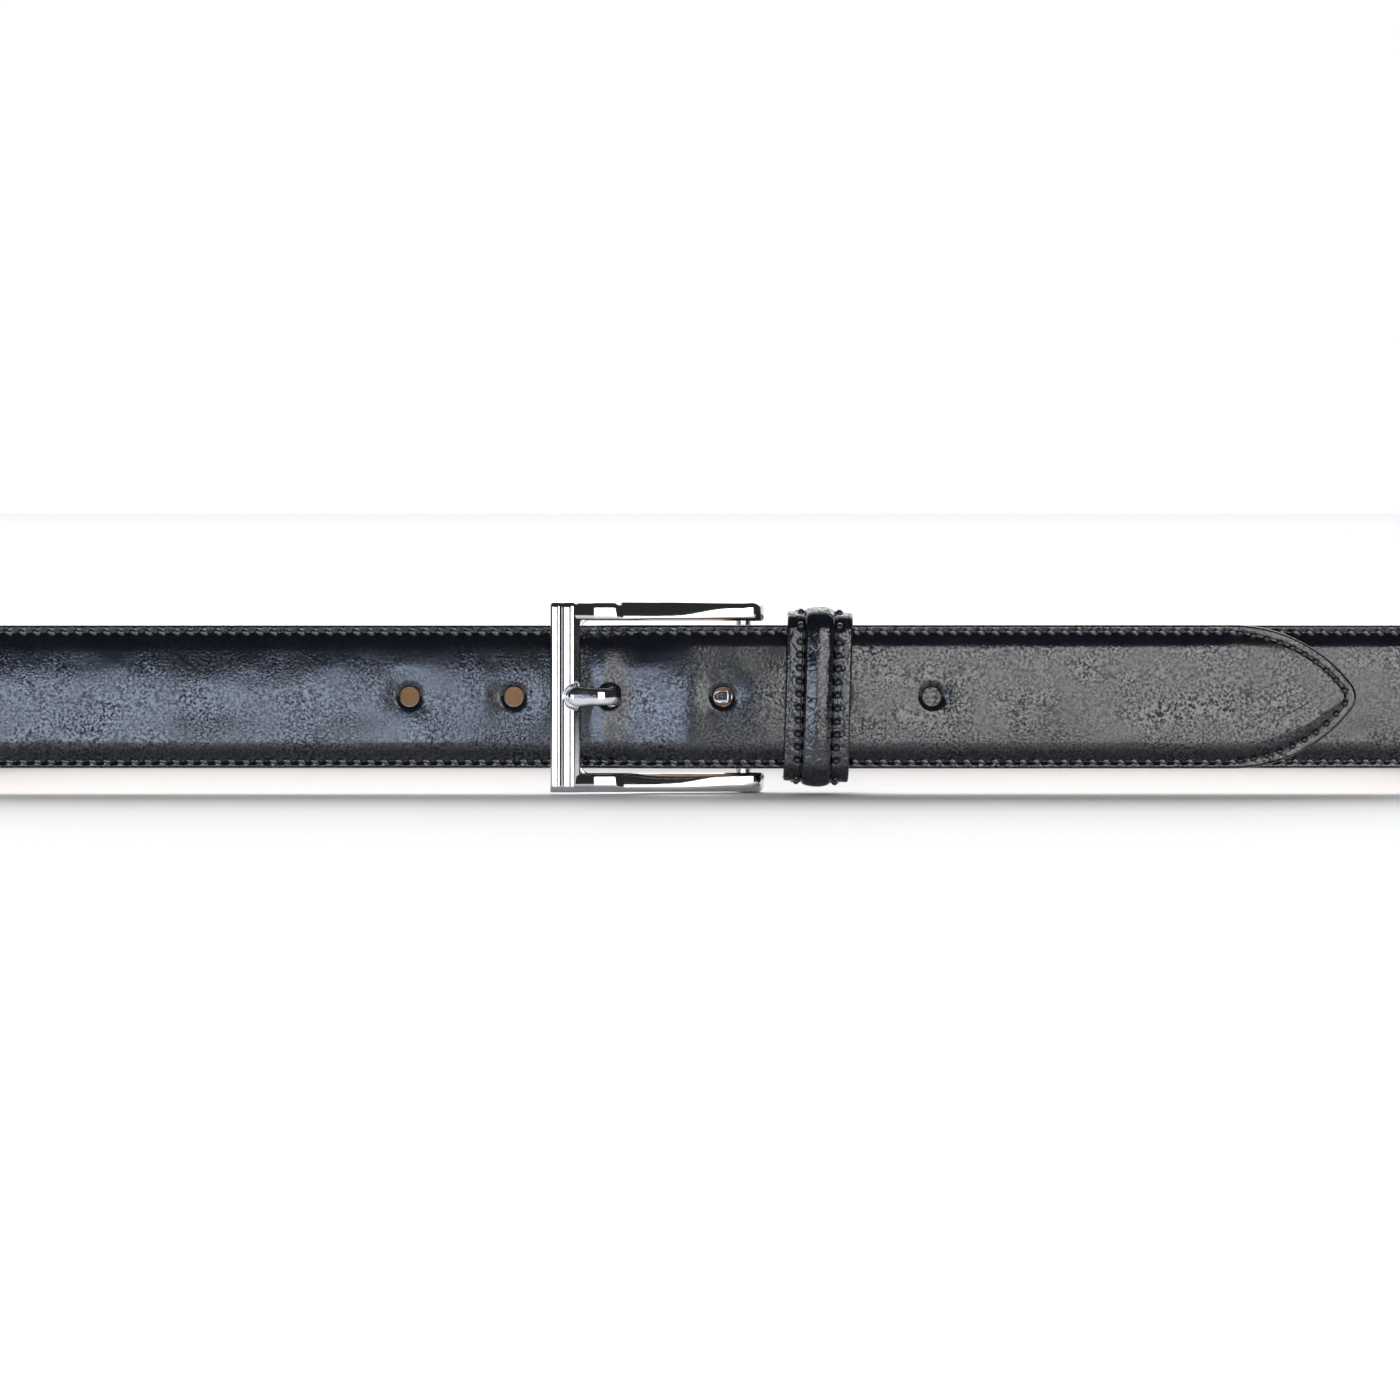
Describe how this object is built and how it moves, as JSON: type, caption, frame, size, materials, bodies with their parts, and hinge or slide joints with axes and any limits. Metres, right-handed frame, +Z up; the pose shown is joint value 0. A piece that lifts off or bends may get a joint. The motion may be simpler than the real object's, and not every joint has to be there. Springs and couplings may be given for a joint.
{
  "type": "leather dress belt",
  "caption": "Black leather dress belt, buckled in a loop: padded strap with stitched edges, a polished rectangular frame with a pivoting prong, and a sliding leather keeper.",
  "frame": {"origin": "middle of the footprint of the standing belt, on the ground", "axes": "+X along the long way of the buckled loop, towards the tail's tip. +Z up, across the strap's width. The buckle faces -Y. The whole belt leans back so that its buckle's lower rail and its back edge both touch the ground."},
  "size_m": [0.4556, 0.1184, 0.0472],
  "materials": {
    "black_leather": "high gloss over a fine grain",
    "padding": "matt, hidden",
    "tan_lining": "natural, smooth, satin",
    "keeper_inner": "satin",
    "thread": "waxed thread, slightly shiny",
    "polished_nickel": "mirror polished",
    "nickel_bar": "drawn wire, plated"
  },
  "bodies": {
    "strap": {"outer_leather": "black_leather", "strap_filler": "padding", "lining_leather": "tan_lining", "stitch_upper": "thread", "stitch_lower": "thread", "stitch_tip": "thread", "turnback_stitch_inner": "thread", "turnback_stitch_outer": "thread"},
    "buckle": {"buckle_frame": "polished_nickel", "hinge_bar": "nickel_bar"},
    "prong": {"prong": "polished_nickel"},
    "keeper": {"keeper_leather": "black_leather", "keeper_filler": "padding", "keeper_lining": "keeper_inner", "keeper_stitch_left": "thread", "keeper_stitch_right": "thread"}
  },
  "joints": [
    {"name": "buckle_pivot", "type": "hinge", "parent": "strap", "child": "buckle", "pos_m": [0.0107, -0.04347, 0.02343], "axis": [0, 0.0591, 0.9982], "range_deg": [0, 1]},
    {"name": "prong_pivot", "type": "hinge", "parent": "buckle", "child": "prong", "pos_m": [0.0107, -0.04347, 0.02343], "axis": [0, 0.0591, 0.9982], "range_deg": [0, 0.5]},
    {"name": "keeper_slide", "type": "slide", "parent": "strap", "child": "keeper", "axis": [1, 0, 0], "range_m": [-0.0015, 0.0015]}
  ]
}
